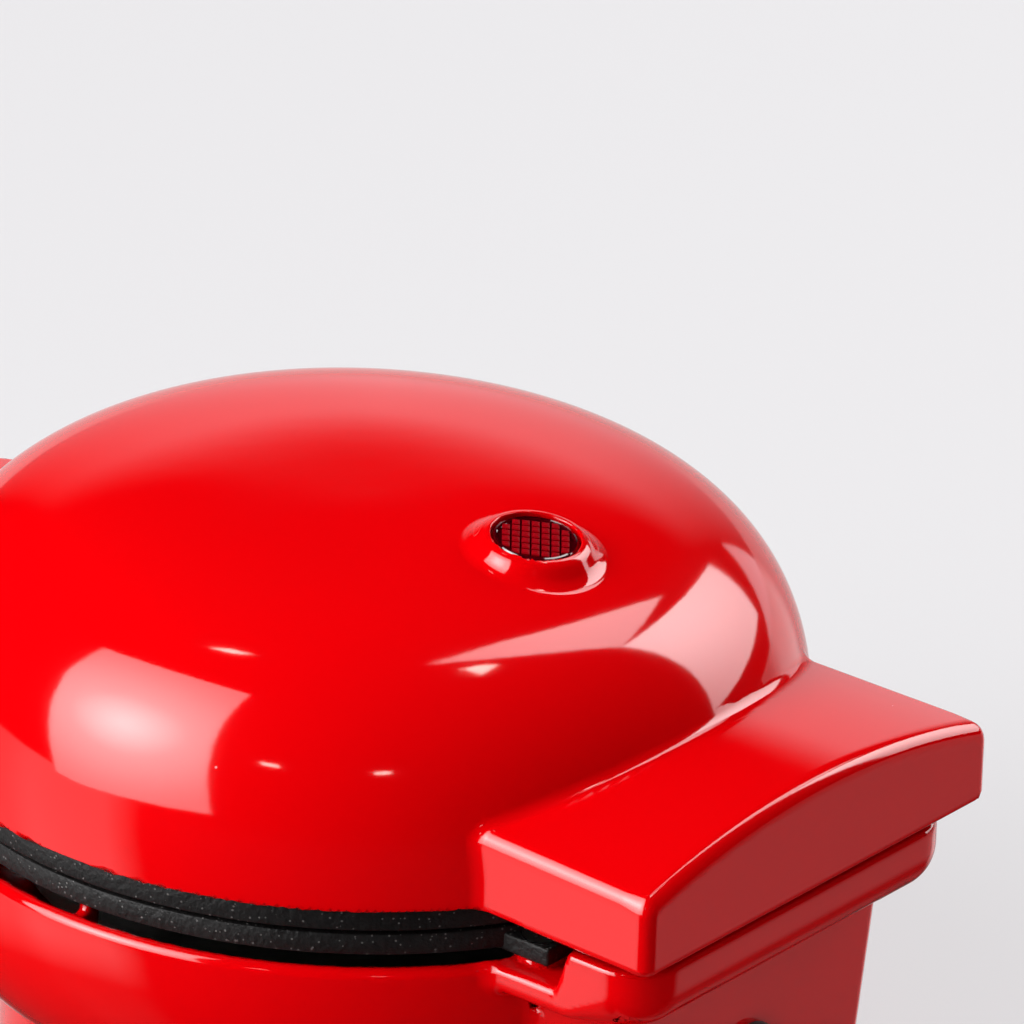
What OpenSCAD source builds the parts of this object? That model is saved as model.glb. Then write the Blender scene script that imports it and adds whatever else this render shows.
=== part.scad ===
// Round countertop taiyaki maker with a hinged lid.
// Origin on the table under the middle of the dome, +Y to the hinge, +Z up.

/* [Shells] */
// Radius of the lid's lower edge
rim_r = 64; // [59:0.2:71]
// Bulge of the dome beyond the lid's lower edge
dome_bulge = 1.4; // [0.8:0.1:2]
// Height of the dome above the lid's lower edge
dome_rise = 36.5; // [32:0.5:42]
// Height of the lid's lower edge above the table
rim_z = 52; // [50:0.5:58]
// Wall of both shells
wall = 2.2; // [1.6:0.1:2.6]
// Bulge of the base bowl beyond the lid's lower edge
bowl_bulge = 1; // [0.4:0.1:1.6]
// Depth of the bowl's curve
bowl_depth = 35; // [30:0.5:36]
// Drop from the lid's lower edge to the top of the base rim
base_drop = 9.4; // [9.2:0.1:11]
// Outer radius of the foot ring
foot_ring_r = 50; // [46:0.5:54]
// Height of the rubber feet below the foot ring
foot_lift = 1.5; // [1:0.1:3]

/* [Rear block of the lid] */
// Half width of the block at its rear
block_half = 39.2; // [37.8:0.1:42]
// Half width of the block where it leaves the dome
block_half_front = 37.6; // [37.4:0.1:41]
// Distance of the block's rear face behind the hinge axis
block_back = 11.2; // [9:0.1:13]
// Height of the block's side edges above the lid's lower edge
block_side_h = 11.5; // [10:0.5:14]
// Rise of the block's crown over its side edges
block_crown = 5.6; // [4:0.2:8]
// Radius of the block's upright corners
block_corner = 3; // [2:0.5:6]

/* [Front handle] */
// Reach of the handle's front edge beyond the lid's lower edge
handle_reach = 20.2; // [14:0.2:26]
// Half width of the handle
handle_half = 22; // [18:0.5:28]
// Height of the handle's side edges
handle_side_h = 5.6; // [5:0.2:8]
// Rise of the handle's crown
handle_crown = 2.4; // [1.6:0.2:4]
// Radius of the handle's upright corners
handle_corner = 7; // [4:0.5:9]

/* [Base block and pedestal] */
// Half width of the base block
rear_half = 36.2; // [34:0.1:36.4]
// Gap between the base block's rear face and the lid block's inside
rear_gap = 0.3; // [0.3:0.1:1]
// Drop of the hinge ridge below the lid's lower edge
ridge_drop = 2.5; // [2.4:0.1:4]
// Drop of the notch floor below the lid's lower edge
notch_drop = 9.1; // [9:0.1:10]
// Distance of the ridge's front foot ahead of the hinge axis
ridge_lead = 8; // [6:0.1:9]
// Length of the curve that climbs to the ridge
ridge_run = 3; // [2:0.2:4]
// Rounding under the base block
rear_round = 7; // [5:0.5:7]
// Radius of the base block's upright corners
rear_corner = 8; // [5:0.5:9]
// Distance of the pedestal's rear face ahead of the hinge axis
pedestal_step = 0; // [-1:0.1:3]
// Half width of the pedestal at its top
pedestal_half_top = 31; // [28:0.5:33]
// Half width of the pedestal at the table
pedestal_half_foot = 25; // [23:0.5:31]

/* [Hinge] */
// Gap between the upper plate's rim and the bracket's arms
bracket_gap = 0.61; // [0.4:0.01:1]
// Drop of the hinge axis below the lid's lower edge
hinge_drop = 6.3; // [6:0.1:6.6]
// Radius of each hinge pin
pin_r = 2; // [1.5:0.1:2.4]
// Radius of the eye round each pin
eye_r = 4.3; // [3.8:0.1:4.4]
// Distance of each arm's middle from the centre plane
arm_x = 19; // [17:0.5:20]
// Thickness of each arm
arm_t = 4; // [3:0.5:5]
// Rear face of the arm's upright, ahead of the hinge axis
arm_back = 6.5; // [6.3:0.1:7]
// Depth of the arm's upright, front to back
arm_depth = 4.5; // [3.5:0.1:4.6]
// Thickness of the ribs that hold each pin
rib_t = 2.6; // [2:0.2:3.4]
// Height of the bracket's crossbar above the lid's lower edge
bar_h = 6; // [5:0.5:7]
// Thickness of the crossbar
bar_t = 3; // [2:0.5:3.5]

/* [Cooking plates] */
// Step of the upper plate's rim inside the lid's lower edge
upper_inset = 0.3; // [0.2:0.1:1]
// Step of the lower plate's rim inside the lid's lower edge
lower_inset = 1.3; // [0.8:0.1:2]
// Thickness of a plate's rim
plate_t = 3.4; // [3:0.1:4]
// Gap between the two rims when the lid is closed
rim_gap = 0.9; // [0.8:0.1:1.4]
// Gap between the two cooking faces when the lid is closed
land_gap = 0.3; // [0.3:0.05:0.6]
// Width of the rim outside the raised cooking face
land_inset = 7; // [5:0.5:9]
// Depth of a fish mould
mould_depth = 8; // [6:0.5:9]
// Metal behind a fish mould
mould_wall = 2.4; // [2:0.1:3]
// Distance of each fish from the middle of the plate
fish_y = 19; // [18:0.5:20]
// Half length of the fish body
fish_a = 25; // [22:0.5:26]
// Half height of the fish body
fish_b = 14.5; // [12:0.5:15]
// Distance of each screw lug from the centre plane
lug_x = 29; // [28:0.5:30]
// Distance of a lug's screw beyond the upper plate's rim
lug_reach = 0.8; // [0.4:0.1:1.4]
// Width of a lug
lug_w = 7; // [6.4:0.2:7.4]
// Thickness of a lug
lug_t = 2.8; // [2.4:0.1:3]
// Distance of the front plate screw from the middle
front_screw_y = 42; // [41:0.5:43]

/* [Heater] */
// Radius of the heating element's ring
element_r = 24; // [20:0.5:30]
// Radius of the element's tube
element_tube = 3.2; // [2.8:0.1:4]
// Radius of each heat shield
shield_r = 48; // [46:0.5:50]
// Thickness of the shield's sheet
sheet = 0.8; // [0.5:0.1:1.2]

/* [Indicator] */
// Distance of the lens from the dome axis
lens_y = 31.2; // [28:0.2:33]
// Radius of the lens
lens_r = 6.4; // [5.5:0.1:7]
// Height of the raised collar round the lens
collar_h = 2.5; // [1.2:0.1:3]
// Width of the raised collar at its foot
collar_w = 3.8; // [3:0.1:5]
// Depth of the lamp holder under the shell
holder_h = 12; // [9:0.5:14]

/* [Fasteners and wiring] */
// Thread radius of the screws
screw_r = 1.5; // [1.2:0.05:1.6]
// Head radius of the screws
screw_head = 2.8; // [2.4:0.1:3]
// Radius of the bosses that take a screw
boss_r = 3.5; // [3.2:0.1:4]
// Bore radius of the cord gland
gland_r = 3.3; // [2.5:0.1:4]
// Height of the cord gland above the table
gland_z = 20; // [18:0.5:26]
// Radius of one lead
lead_r = 1.1; // [0.8:0.1:1.4]

/* [Hidden] */

// Exponents of the dome's and the bowl's profile: the first squares the shoulder
dome_n = 3.6;
dome_m = 2.4;
// Number of straight steps in each profile
steps = 20;
// Overlap that makes a cut or a joint clean
eps = 0.5;
// Radial clearance of the arm's eye on its pin, and of the pin in its ribs
pin_run = 0.05;
pin_seat = 0.02;
// Clearance of a screw's shank in the piece that it passes through, and in its boss
shank_gap = 0.2;
thread_gap = 0.02;
// Side clearance of an arm between its ribs
arm_gap = 0.4;
// Gap between the lid's lower edge and the upper plate's rim
plate_seat = 0.2;
// Step of a lug's face behind the plate's rim face
lug_step = 1;
// Clearance round the bottom cover
cover_gap = 0.4;
// Thickness of the bottom cover, and its lift above the foot ring's edge
cover_t = 2;
cover_lift = 1.5;
// Rounding of the lid's lower edge and of the base rim
lip_round = 1.5;
// Gap of the fuse, the lamp and the lens in their seats
part_gap = 0.1;
// Step from the collar's top down to the edge of the lens
lens_sink = 0.9;
// End of a fish's tail, and how far past it the thermostat and the fuse lie
tail_x = 36;
thermostat_x = tail_x + 10.5;
fuse_x = tail_x + 10;
// Length of the thermostat's blades, and the lift of the fuse's axis off the plate
blade_h = 9;
fuse_lift = 2.9;
// Width of the slot that passes the lid's leads through the ridge
lead_slot = 8;

dome_r = rim_r + dome_bulge;
bowl_r = rim_r + bowl_bulge;
upper_plate_r = rim_r - upper_inset;
lower_plate_r = rim_r - lower_inset;
land_r = rim_r - land_inset;
lug_y = sqrt(pow(upper_plate_r + lug_reach, 2) - pow(lug_x, 2));
hinge_y = sqrt(pow(upper_plate_r, 2) - pow(arm_x - arm_t / 2, 2)) + bracket_gap + arm_depth + arm_back;
block_rear = hinge_y + block_back;
handle_front = rim_r + handle_reach;
ridge_y = hinge_y - ridge_lead;
pedestal_rear = hinge_y - pedestal_step;
hinge_z = rim_z - hinge_drop;
base_top = rim_z - base_drop;
bowl_z = base_top - lip_round;
notch_z = rim_z - notch_drop;
ridge_z = rim_z - ridge_drop;
rear_y = block_rear - wall - rear_gap;
rear_bottom = hinge_z - rear_round;
upper_face = rim_z - plate_seat - plate_t;
lower_face = upper_face - rim_gap;
land_lift = (rim_gap - land_gap) / 2;
mould_floor = mould_depth - land_lift;
element_seat = mould_floor + mould_wall;
shield_at = element_seat + 2 * element_tube;
cover_z = foot_lift + cover_lift;
cover_top = cover_z + cover_t;
rib_in = arm_t / 2 + arm_gap;
crown_r = (block_half * block_half + block_crown * block_crown) / (2 * block_crown);
handle_crown_r = (handle_half * handle_half + handle_crown * handle_crown) / (2 * handle_crown);
bracket_screw_x = arm_x - 8;
bracket_screw_y = hinge_y - arm_back - arm_depth;
bracket_front = bracket_screw_y - boss_r;
cover_points = [[0, -front_screw_y], [38, 12], [-38, 12], [0, pedestal_rear - 10.8]];
feet_points = [[29, -24], [-29, -24], [17, pedestal_rear - 13.8], [-17, pedestal_rear - 13.8]];
foot_r = 5;
// Middle of the terminal block, ahead of the pedestal's rear face, and the block's rear face
block_y = pedestal_rear - 27.8;
block_face = block_y + 6;
// Rear ends of an element's two pins, and the distance of the thermostat's blades from its middle
pin_end = sqrt(pow(element_r, 2) - 25) + 17.5;
blade_y = 3.8;

// Profile of a dome in the R-Z plane, from its widest ring to its pole
function dome_pts(r, h) = [for (i = [0 : steps]) let (t = 90 * i / steps)
    [r * pow(cos(t), 2 / dome_n), h * pow(sin(t), 2 / dome_m)]];
function dome_z(r) = dome_rise * pow(1 - pow(r / dome_r, dome_n), 1 / dome_m);
function arc(cx, cy, r, a0, a1, n) = [for (i = [0 : n]) let (a = a0 + (a1 - a0) * i / n)
    [cx + r * cos(a), cy + r * sin(a)]];

lens_tilt = atan((dome_z(lens_y - 1) - dome_z(lens_y + 1)) / 2);
lens_seat = wall + 1.2;

// Upright block with round rear corners, widening from y0 to y1
module round_block(w0, w1, y0, y1, r, h) {
    union() {
        linear_extrude(h)
            polygon([[-w0, y0], [-w1, y1 - r], [-w1 + r, y1], [w1 - r, y1], [w1, y1 - r], [w0, y0]]);
        for (s = [-1, 1]) translate([s * (w1 - r), y1 - r, 0]) cylinder(h = h, r = r, $fn = 48);
    }
}

// Slab with a crowned top, standing from z0, for x within the half width
module crowned(half, side, crown, z0, y0, y1, top_r) {
    translate([0, y1, 0]) rotate([90, 0, 0]) linear_extrude(y1 - y0) intersection() {
        translate([-half, z0]) square([2 * half, side + crown - z0]);
        translate([0, side + crown - top_r]) circle(top_r, $fn = 180);
    }
}

module lid_block(cut) {
    intersection() {
        translate([0, 0, rim_z]) crowned(block_half + 1, block_side_h - cut, block_crown,
            cut > 0 ? -5 : 0, lens_y, block_rear + 1, crown_r - cut);
        translate([0, 0, rim_z - 6]) round_block(block_half_front - cut,
            block_half - cut, lens_y + 10, block_rear - cut, max(block_corner - cut, 0.8), 40);
    }
}

module lid_handle(cut) {
    intersection() {
        translate([0, 0, rim_z]) mirror([0, 1, 0]) crowned(handle_half + 1,
            handle_side_h - cut, handle_crown, cut > 0 ? -5 : 0, lens_y + 10,
            handle_front + 1, handle_crown_r - cut);
        translate([0, 0, rim_z - 6]) mirror([0, 1, 0]) round_block(handle_half - cut,
            handle_half - cut, dome_r - 12, handle_front - cut, handle_corner - cut, 30);
    }
}

module dome_outer() {
    low = [for (p = dome_pts(dome_r, dome_rise)) if (p[1] > lip_round) p];
    translate([0, 0, rim_z]) rotate_extrude($fn = 120) polygon(concat([[0, 0], [rim_r, 0],
        [dome_r - 0.3, lip_round * 0.6]], low));
}

module dome_inner() {
    translate([0, 0, rim_z]) rotate_extrude($fn = 120) polygon(concat([[0, -1],
        [dome_r - wall, -1]], dome_pts(dome_r - wall, dome_rise - wall)));
}

// Frame of the lens: origin on the shell, Z along the shell's normal
module at_lens() {
    translate([0, lens_y, rim_z + dome_z(lens_y)]) rotate([-lens_tilt, 0, 0]) children();
}

// Ribs that carry a plate's rim, for the front half of a round shell
module plate_ribs(r_in, r_out, z0, z1) {
    for (a = [180 : 30 : 360]) rotate([0, 0, a])
        translate([r_in, -1, z0]) cube([r_out - r_in, 2, z1 - z0]);
}

module lid_shell() {
    boss_low = rim_z - plate_seat + lug_t - plate_t + lug_step;
    color("red") difference() {
        union() {
            difference() {
                union() {
                    dome_outer();
                    lid_block(0);
                    lid_handle(0);
                    at_lens() translate([0, 0, -wall / 2])
                        cylinder(h = wall / 2 + collar_h, r1 = lens_r + collar_w,
                            r2 = lens_r + 1.2, $fn = 64);
                }
                dome_inner();
                lid_block(wall);
                lid_handle(wall);
            }
            intersection() {
                union() {
                    dome_outer();
                    lid_block(0);
                }
                union() {
                    for (s = [-1, 1]) {
                        translate([s * lug_x, lug_y, boss_low]) cylinder(h = 30, r = boss_r, $fn = 32);
                        translate([s * bracket_screw_x, bracket_screw_y, rim_z + bar_h + bar_t])
                            cylinder(h = 30, r = boss_r, $fn = 32);
                    }
                    translate([0, -front_screw_y, upper_face + shield_at + sheet])
                        cylinder(h = 40, r = boss_r, $fn = 32);
                    translate([0, 0, rim_z - plate_seat])
                        plate_ribs(land_r + 1, dome_r - wall / 2, plate_seat, 14);
                    at_lens() translate([0, 0, -lens_seat])
                        cylinder(h = lens_seat, r = lens_r + 3, $fn = 48);
                }
            }
            plate_foot();
        }
        at_lens() translate([0, 0, -10]) cylinder(h = 20, r = lens_r + part_gap, $fn = 64);
        for (s = [-1, 1]) {
            translate([s * lug_x, lug_y, boss_low - eps])
                cylinder(h = 8 + eps, r = screw_r + thread_gap, $fn = 24);
            translate([s * bracket_screw_x, bracket_screw_y, rim_z + bar_h + bar_t - eps])
                cylinder(h = 4 + eps, r = screw_r + thread_gap, $fn = 24);
        }
        translate([0, -front_screw_y, upper_face + shield_at + sheet - eps])
            cylinder(h = 8 + eps, r = screw_r + thread_gap, $fn = 24);
    }
}

// Low pads of the lid's ribs that reach down to the upper plate
module plate_foot() {
    translate([0, 0, rim_z - plate_seat]) plate_ribs(land_r + 1, rim_r - wall, 0, plate_seat + 1);
}

module indicator_lens() {
    color([0.5, 0, 0.02]) at_lens() {
        translate([0, 0, -lens_seat - 1]) cylinder(h = 1, r = lens_r + 1.6, $fn = 64);
        translate([0, 0, -lens_seat - eps])
            cylinder(h = lens_seat + eps + collar_h - lens_sink, r = lens_r, $fn = 64);
        translate([0, 0, collar_h - lens_sink])
            cylinder(h = 0.6, r1 = lens_r, r2 = lens_r - 0.9, $fn = 64);
    }
}

module lamp_holder() {
    color("ivory") at_lens() translate([0, 0, -lens_seat - 1 - holder_h]) difference() {
        cylinder(h = holder_h, r = lens_r + 2.4, $fn = 48);
        translate([0, 0, 1.6]) cylinder(h = holder_h, r = lens_r + 0.8, $fn = 48);
        translate([0, 0, -eps]) cylinder(h = 4, r = 2.2 + part_gap, $fn = 32);
    }
}

module indicator_lamp() {
    color("orange") at_lens() translate([0, 0, -lens_seat - 1 - holder_h]) {
        translate([0, 0, -1]) cylinder(h = holder_h - 3, r = 2.2, $fn = 32);
        translate([0, 0, holder_h - 4]) sphere(2.2, $fn = 32);
        translate([0, 0, -2.4]) cylinder(h = 1.4, r = 3, $fn = 32);
    }
}

// Outline of one fish, head towards -X, drawn round the middle of its length
module fish() {
    offset(r = 1.2, $fn = 16) offset(delta = -1.2) {
        polygon([for (a = [0 : 12 : 348]) [fish_a * cos(a) - 9, fish_b * sin(a)]]);
        polygon([[8, 6], [20, 3.6], [tail_x - 3, 12.5], [tail_x, 11], [tail_x - 4.5, 0],
            [tail_x, -11], [tail_x - 3, -12.5], [20, -3.6], [8, -6]]);
        polygon([[-20, fish_b - 2.5], [-13, fish_b + 1.6], [0, fish_b + 2], [6, fish_b - 4]]);
        polygon([[-12, 1 - fish_b], [-4, -fish_b - 1.8], [3, -fish_b - 1.8], [4, 3 - fish_b]]);
    }
}

// The two fish lie head to tail
module each_fish() {
    translate([0, fish_y]) children();
    translate([0, -fish_y]) rotate(180) children();
}

// One cooking plate: face down at z = 0, its back towards +Z
module plate(r) {
    lug_low = lug_step;
    difference() {
        union() {
            cylinder(h = plate_t, r = r, $fn = 120);
            translate([0, 0, -land_lift]) cylinder(h = land_lift + eps, r = land_r, $fn = 96);
            translate([0, 0, plate_t - eps]) linear_extrude(mould_floor - plate_t + eps)
                each_fish() offset(r = mould_wall, $fn = 16) fish();
            translate([0, 0, mould_floor - eps]) linear_extrude(mould_wall + eps)
                each_fish() offset(r = mould_wall - 1.6, $fn = 16) fish();
            for (s = [-1, 1]) {
                translate([s * lug_x - lug_w / 2, lug_y - 10, lug_low])
                    cube([lug_w, 10 + lug_w / 2 + 0.5, lug_t]);
                translate([0, s * front_screw_y, plate_t - eps])
                    cylinder(h = shield_at - plate_t + eps, r = boss_r - 0.5, $fn = 32);
            }
        }
        translate([0, 0, -land_lift - eps]) linear_extrude(mould_depth * 0.3 + eps) each_fish() fish();
        translate([0, 0, -land_lift]) linear_extrude(mould_depth * 0.7)
            each_fish() offset(delta = -1.5) fish();
        translate([0, 0, -land_lift]) linear_extrude(mould_depth)
            each_fish() offset(delta = -3.6) fish();
        for (s = [-1, 1]) translate([s * lug_x, lug_y, lug_low]) screw_way(lug_t);
        translate([0, -front_screw_y, -land_lift]) screw_way(shield_at + land_lift);
        translate([0, front_screw_y, shield_at - 6])
            cylinder(h = 6 + eps, r = screw_r + thread_gap, $fn = 24);
    }
}

// Clearance way of a countersunk screw through a piece that thick
module screw_way(t) {
    translate([0, 0, -eps]) cylinder(h = t + 2 * eps, r = screw_r + shank_gap, $fn = 32);
    translate([0, 0, -0.01]) cylinder(h = screw_head - screw_r + 0.01, r1 = screw_head + part_gap,
        r2 = screw_r + part_gap, $fn = 32);
}

// Countersunk screw, head face at z = 0, pointing to +Z
module flat_screw(l) {
    difference() {
        union() {
            translate([0, 0, 0.05])
                cylinder(h = screw_head - screw_r, r1 = screw_head, r2 = screw_r, $fn = 32);
            translate([0, 0, 0.1]) cylinder(h = l - 0.1, r = screw_r, $fn = 32);
        }
        for (a = [0, 90]) rotate([0, 0, a]) translate([-1.6, -0.3, -eps]) cube([3.2, 0.6, 1.2 + eps]);
    }
}

// Pan head screw, seat of the head at z = 0, pointing to +Z
module pan_screw(l) {
    difference() {
        union() {
            translate([0, 0, -1.6]) cylinder(h = 1.6, r = screw_head, $fn = 32);
            translate([0, 0, -eps]) cylinder(h = l + eps, r = screw_r, $fn = 32);
        }
        for (a = [0, 90]) rotate([0, 0, a]) translate([-1.6, -0.3, -2.1]) cube([3.2, 0.6, 1.3]);
    }
}

module plate_screws() {
    for (s = [-1, 1]) translate([s * lug_x, lug_y, lug_step]) flat_screw(lug_t + 6);
    translate([0, -front_screw_y, -land_lift]) flat_screw(shield_at + land_lift + sheet + 6);
    translate([0, front_screw_y, shield_at + sheet]) mirror([0, 0, 1]) pan_screw(5);
}

// Tubular element: an open ring with its two cold ends brought straight to the rear
module element() {
    a = asin(5 / element_r);
    translate([0, 0, element_seat + element_tube]) {
        rotate([0, 0, 90 + a]) rotate_extrude(angle = 360 - 2 * a, $fn = 96)
            translate([element_r, 0]) circle(element_tube, $fn = 24);
        for (s = [-1, 1]) {
            translate([s * 5, element_r * cos(a) - 1, 0]) rotate([-90, 0, 0])
                cylinder(h = 12, r = element_tube, $fn = 24);
            translate([s * 5, element_r * cos(a) + 10.5, 0]) rotate([-90, 0, 0])
                cylinder(h = 7, r = 1.2, $fn = 24);
        }
    }
}

module shield() {
    translate([0, 0, shield_at]) difference() {
        union() {
            cylinder(h = sheet, r = shield_r, $fn = 96);
            translate([0, 0, -2]) difference() {
                cylinder(h = 2 + eps / 4, r = shield_r, $fn = 96);
                translate([0, 0, -eps]) cylinder(h = 4, r = shield_r - sheet, $fn = 96);
            }
        }
        for (s = [-1, 1]) translate([0, s * front_screw_y, -eps])
            cylinder(h = 2, r = screw_r + shank_gap, $fn = 32);
        translate([-9, element_r + 20, -4]) cube([18, 10, 4 - eps / 2]);
        translate([-thermostat_x - 4, -5.5, -3]) cube([8, 11, sheet + 4]);
    }
}

module on_upper() {
    translate([0, 0, upper_face]) children();
}

module on_lower() {
    translate([0, 0, lower_face]) mirror([0, 0, 1]) children();
}

module upper_plate() {
    color([0.08, 0.08, 0.08]) on_upper() plate(upper_plate_r);
}

module lower_plate() {
    color([0.08, 0.08, 0.08]) on_lower() plate(lower_plate_r);
}

module upper_element() {
    color("dimgray") on_upper() element();
}

module lower_element() {
    color("dimgray") on_lower() element();
}

module upper_heat_shield() {
    color("silver") on_upper() shield();
}

module lower_heat_shield() {
    color("silver") on_lower() shield();
}

module upper_plate_screws() {
    color("gray") on_upper() plate_screws();
}

module lower_plate_screws() {
    color("gray") on_lower() plate_screws();
}

// Bimetal thermostat on the back of the upper plate, beside the moulds
module thermostat() {
    color("gainsboro") on_upper() translate([-thermostat_x, 0, plate_t]) {
        cylinder(h = 6, r = 7, $fn = 48);
        translate([0, 0, 6 - eps]) cylinder(h = 3 + eps, r = 5, $fn = 48);
        for (s = [-1, 1]) translate([-2.4, s * (blade_y - 0.4) - 0.4, 8.5]) cube([4.8, 0.8, blade_h]);
    }
}

// One-shot fuse held on the back of the lower plate by a spring clip
module thermal_fuse() {
    color("tan") on_lower() translate([fuse_x, -6, plate_t + fuse_lift]) rotate([-90, 0, 0]) {
        cylinder(h = 12, r = 2, $fn = 32);
        translate([0, 0, -4]) cylinder(h = 20, r = 0.5, $fn = 16);
    }
}

module fuse_clip() {
    color("silver") on_lower() translate([fuse_x, 0, plate_t]) difference() {
        translate([-4, -3, 0]) cube([8, 6, 6]);
        translate([0, -4, fuse_lift]) rotate([-90, 0, 0]) cylinder(h = 8, r = 2 + part_gap, $fn = 32);
        translate([-1.4, -4, fuse_lift]) cube([2.8, 8, 4]);
    }
}

// Bent arm in the Y-Z plane, with its eye round the hinge axis at the origin
module arm_outline() {
    circle(eye_r, $fn = 64);
    polygon([[-arm_back - arm_depth, -2.2], [-arm_back, -2.2], [-1, -eye_r + 0.3], [0, 0],
        [-3.2, 2.7], [-arm_back, 3.2], [-arm_back, hinge_drop + bar_h + bar_t],
        [-arm_back - arm_depth, hinge_drop + bar_h + bar_t]]);
}

module hinge_bracket() {
    color("lightsteelblue") difference() {
        union() {
            for (s = [-1, 1]) translate([s * arm_x - arm_t / 2, hinge_y, hinge_z])
                rotate([90, 0, 90]) linear_extrude(arm_t) arm_outline();
            translate([-arm_x - arm_t / 2, bracket_front, rim_z + bar_h])
                cube([2 * arm_x + arm_t, hinge_y - arm_back - bracket_front, bar_t]);
        }
        for (s = [-1, 1]) {
            translate([s * arm_x - arm_t, hinge_y, hinge_z]) rotate([0, 90, 0])
                cylinder(h = 2 * arm_t, r = pin_r + pin_run, $fn = 48);
            translate([s * bracket_screw_x, bracket_screw_y, rim_z + bar_h - eps])
                cylinder(h = bar_t + 2 * eps, r = screw_r + shank_gap, $fn = 32);
        }
    }
}

module bracket_screws() {
    color("gray") for (s = [-1, 1])
        translate([s * bracket_screw_x, bracket_screw_y, rim_z + bar_h]) pan_screw(bar_t + 3.5);
}

module hinge_pins() {
    half = rib_in + rib_t - part_gap;
    chamfer = 0.3;
    color("silver") for (s = [-1, 1]) translate([s * arm_x, hinge_y, hinge_z]) rotate([0, 90, 0]) {
        translate([0, 0, -half + chamfer]) cylinder(h = 2 * (half - chamfer), r = pin_r, $fn = 48);
        for (e = [0, 1]) mirror([0, 0, e]) translate([0, 0, half - chamfer])
            cylinder(h = chamfer, r1 = pin_r, r2 = pin_r - chamfer, $fn = 48);
    }
}

// Long bar with the base block's side view: notch floor, curve up to the ridge, round underside.
// Its hollow starts behind the curve, because the notch floor is one wall thick.
module rear_bar(cut) {
    rise = notch_drop - ridge_drop;
    first = cut > 0 ? 2 : 0;
    front = cut > 0 ? ridge_y + cut + ridge_run * first / 8 : lens_y;
    curve = [for (i = [8 : -1 : first]) [ridge_y + cut + ridge_run * i / 8,
        notch_z - cut + rise * (1 - cos(180 * i / 8)) / 2]];
    union() {
        translate([-rear_half - 1, 0, 0]) rotate([90, 0, 90]) linear_extrude(2 * rear_half + 2)
            polygon(concat([[front, rear_bottom + cut], [rear_y - rear_round, rear_bottom + cut],
                [rear_y - cut, hinge_z], [rear_y - cut, ridge_z - cut]], curve,
                cut > 0 ? [] : [[lens_y, notch_z]]));
        intersection() {
            translate([-rear_half - 1, rear_y - rear_round, hinge_z]) rotate([0, 90, 0])
                cylinder(h = 2 * rear_half + 2, r = rear_round - cut, $fn = 64);
            translate([-rear_half - 2, rear_y - rear_round - eps, hinge_z - rear_round - eps])
                cube([2 * rear_half + 4, rear_round + 2 * eps, rear_round + 2 * eps]);
        }
    }
}

module rear_block(cut) {
    intersection() {
        rear_bar(cut);
        translate([0, 0, rear_bottom - 1]) round_block(rear_half - cut, rear_half - cut,
            lens_y - 1, rear_y - cut, rear_corner - cut, notch_drop + rear_round + 6);
    }
}

module pedestal(cut) {
    top = cut > 0 ? notch_z - wall : rear_bottom + wall;
    low = cut > 0 ? -1 : foot_lift;
    intersection() {
        translate([0, pedestal_rear - cut, 0]) rotate([90, 0, 0])
            linear_extrude(pedestal_rear - cut - lens_y) polygon([
                [-pedestal_half_foot + cut, low], [pedestal_half_foot - cut, low],
                [pedestal_half_top - cut, top], [-pedestal_half_top + cut, top]]);
        translate([0, 0, low]) round_block(pedestal_half_top, pedestal_half_top,
            lens_y - 1, pedestal_rear - cut, 3, top - low);
    }
}

module bowl_outer() {
    body = dome_pts(bowl_r, -bowl_depth);
    translate([0, 0, bowl_z]) rotate_extrude($fn = 120) polygon(concat([[0, lip_round],
        [bowl_r - lip_round, lip_round]], arc(bowl_r - lip_round, 0, lip_round, 75, 0, 5), body));
    translate([0, 0, foot_lift])
        cylinder(h = bowl_z - bowl_depth + 8 - foot_lift, r = foot_ring_r, $fn = 120);
}

module bowl_inner() {
    translate([0, 0, bowl_z]) rotate_extrude($fn = 120) polygon(concat([[0, lip_round + 1],
        [bowl_r - wall, lip_round + 1]], dome_pts(bowl_r - wall, wall - bowl_depth)));
    translate([0, 0, -1]) cylinder(h = bowl_z - bowl_depth + 10, r = foot_ring_r - wall, $fn = 120);
}

module base_outer() {
    bowl_outer();
    rear_block(0);
    pedestal(0);
}

// Column that takes a cover screw from below, tied to the wall by a web
module cover_post(p, top) {
    r = norm(p);
    translate([p[0], p[1], cover_top]) cylinder(h = top - cover_top, r = boss_r, $fn = 32);
    rotate([0, 0, atan2(p[1], p[0])]) translate([r, -1.2, cover_top + 1])
        cube([14, 2.4, top - cover_top - 2]);
}

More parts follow.
